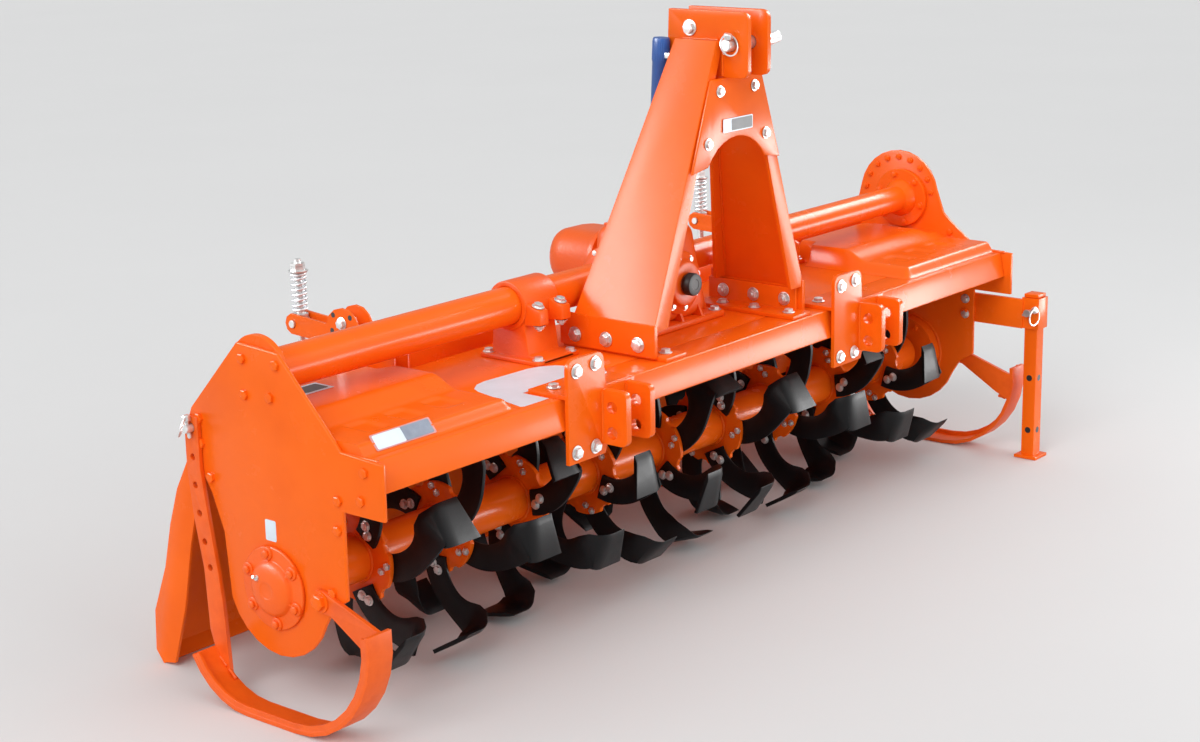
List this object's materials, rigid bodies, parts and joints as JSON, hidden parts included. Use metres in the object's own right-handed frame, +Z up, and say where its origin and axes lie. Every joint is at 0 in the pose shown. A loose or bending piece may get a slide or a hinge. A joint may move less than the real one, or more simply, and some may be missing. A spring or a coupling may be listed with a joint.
{
  "type": "rotary tiller",
  "caption": "Rotary tiller for a tractor's rear hitch: bladed rotor under a steel deck, side gear case, mast, skids, parking stand and a sprung trailing board.",
  "frame": {"origin": "on the floor, at the middle of the footprint's bounding box", "axes": "+Z up; X along the rotor, with the gear case at +X; -Y is the side of the hitch and the direction of travel, +Y the trailing board"},
  "size_m": [2.1643, 0.7018, 1.1197],
  "materials": {
    "orange_paint": "gloss",
    "rotor_black": "satin",
    "bright_steel": "zinc plated",
    "blue_plastic": "smooth",
    "black_plastic": "matt"
  },
  "bodies": {
    "tiller": {"clevis_plate_left": "orange_paint", "clevis_plate_right": "orange_paint", "clevis_spacer": "bright_steel", "deck": "orange_paint", "document_holder": "blue_plastic", "drive_tube": "orange_paint", "front_beam": "orange_paint", "gear_case": "orange_paint", "gearbox": "orange_paint", "gearbox_rear_cover": "orange_paint", "hinge_rod": "orange_paint", "hitch_bracket_left": "orange_paint", "hitch_bracket_right": "orange_paint", "left_bearing_cover": "orange_paint", "left_side_plate": "orange_paint", "main_tube": "orange_paint", "mast_arch_plate": "orange_paint", "mast_foot_left": "orange_paint", "mast_foot_right": "orange_paint", "mast_leg_left": "orange_paint", "mast_leg_right": "orange_paint", "right_side_plate": "orange_paint", "skid_left_pivot_pin": "bright_steel", "skid_right_pivot_pin": "bright_steel", "spring_bracket_left": "orange_paint", "spring_bracket_right": "orange_paint", "stand_sleeve": "orange_paint", "top_link_pin": "bright_steel", "tube_clamp": "orange_paint"},
    "rotor": {"rotor_tube": "orange_paint", "rotor_flange_1": "rotor_black", "rotor_flange_2": "rotor_black", "rotor_flange_3": "rotor_black", "rotor_flange_4": "rotor_black", "rotor_flange_5": "rotor_black", "rotor_flange_6": "rotor_black", "rotor_flange_7": "rotor_black", "rotor_flange_8": "rotor_black", "rotor_flange_9": "rotor_black"},
    "pto": {"pto_shaft": "bright_steel", "pto_cap": "black_plastic"},
    "board": {"trailing_board": "orange_paint"},
    "stand": {"stand_leg": "orange_paint"},
    "skid_left": {"skid_left": "orange_paint", "skid_left_lock_pin": "bright_steel"},
    "trunnion_left": {"trunnion_left": "bright_steel"},
    "rod_left": {"spring_rod_left": "bright_steel", "rod_spring_left": "bright_steel"},
    "skid_right": {"skid_right": "orange_paint", "skid_right_lock_pin": "bright_steel"},
    "trunnion_right": {"trunnion_right": "bright_steel"},
    "rod_right": {"spring_rod_right": "bright_steel", "rod_spring_right": "bright_steel"}
  },
  "joints": [
    {"name": "rotor_spin", "type": "hinge", "parent": "tiller", "child": "rotor", "pos_m": [0, -0.011, 0.222], "axis": [1, 0, 0], "continuous": true},
    {"name": "pto_spin", "type": "hinge", "parent": "tiller", "child": "pto", "pos_m": [0, -0.135, 0.576], "axis": [0, 1, 0], "continuous": true},
    {"name": "board_hinge", "type": "hinge", "parent": "tiller", "child": "board", "pos_m": [0, 0.169, 0.458], "axis": [1, 0, 0], "range_deg": [0, 50]},
    {"name": "stand_slide", "type": "slide", "parent": "tiller", "child": "stand", "axis": [0, 0, 1], "range_m": [0, 0.28]},
    {"name": "skid_left_adjust", "type": "hinge", "parent": "tiller", "child": "skid_left", "pos_m": [-1.025, -0.128, 0.225], "axis": [1, 0, 0], "range_deg": [0, 8]},
    {"name": "trunnion_left_swivel", "type": "hinge", "parent": "tiller", "child": "trunnion_left", "pos_m": [-0.631, 0.321, 0.562], "axis": [1, 0, 0], "range_deg": [0, 40]},
    {"name": "rod_left_slide", "type": "slide", "parent": "trunnion_left", "child": "rod_left", "axis": [0, 0.0122, 0.9999], "range_m": [0, 0.15]},
    {"name": "skid_right_adjust", "type": "hinge", "parent": "tiller", "child": "skid_right", "pos_m": [1.025, -0.128, 0.225], "axis": [1, 0, 0], "range_deg": [0, 8]},
    {"name": "trunnion_right_swivel", "type": "hinge", "parent": "tiller", "child": "trunnion_right", "pos_m": [0.631, 0.321, 0.562], "axis": [1, 0, 0], "range_deg": [0, 40]},
    {"name": "rod_right_slide", "type": "slide", "parent": "trunnion_right", "child": "rod_right", "axis": [0, 0.0122, 0.9999], "range_m": [0, 0.15]}
  ],
  "couplings": [
    {"joint": "pto_spin", "follows": "rotor_spin", "ratio": -2.57},
    {"joint": "trunnion_left_swivel", "follows": "board_hinge", "ratio": 0.78},
    {"joint": "rod_left_slide", "follows": "board_hinge", "m_per_rad": 0.171},
    {"joint": "trunnion_right_swivel", "follows": "board_hinge", "ratio": 0.78},
    {"joint": "rod_right_slide", "follows": "board_hinge", "m_per_rad": 0.171}
  ]
}
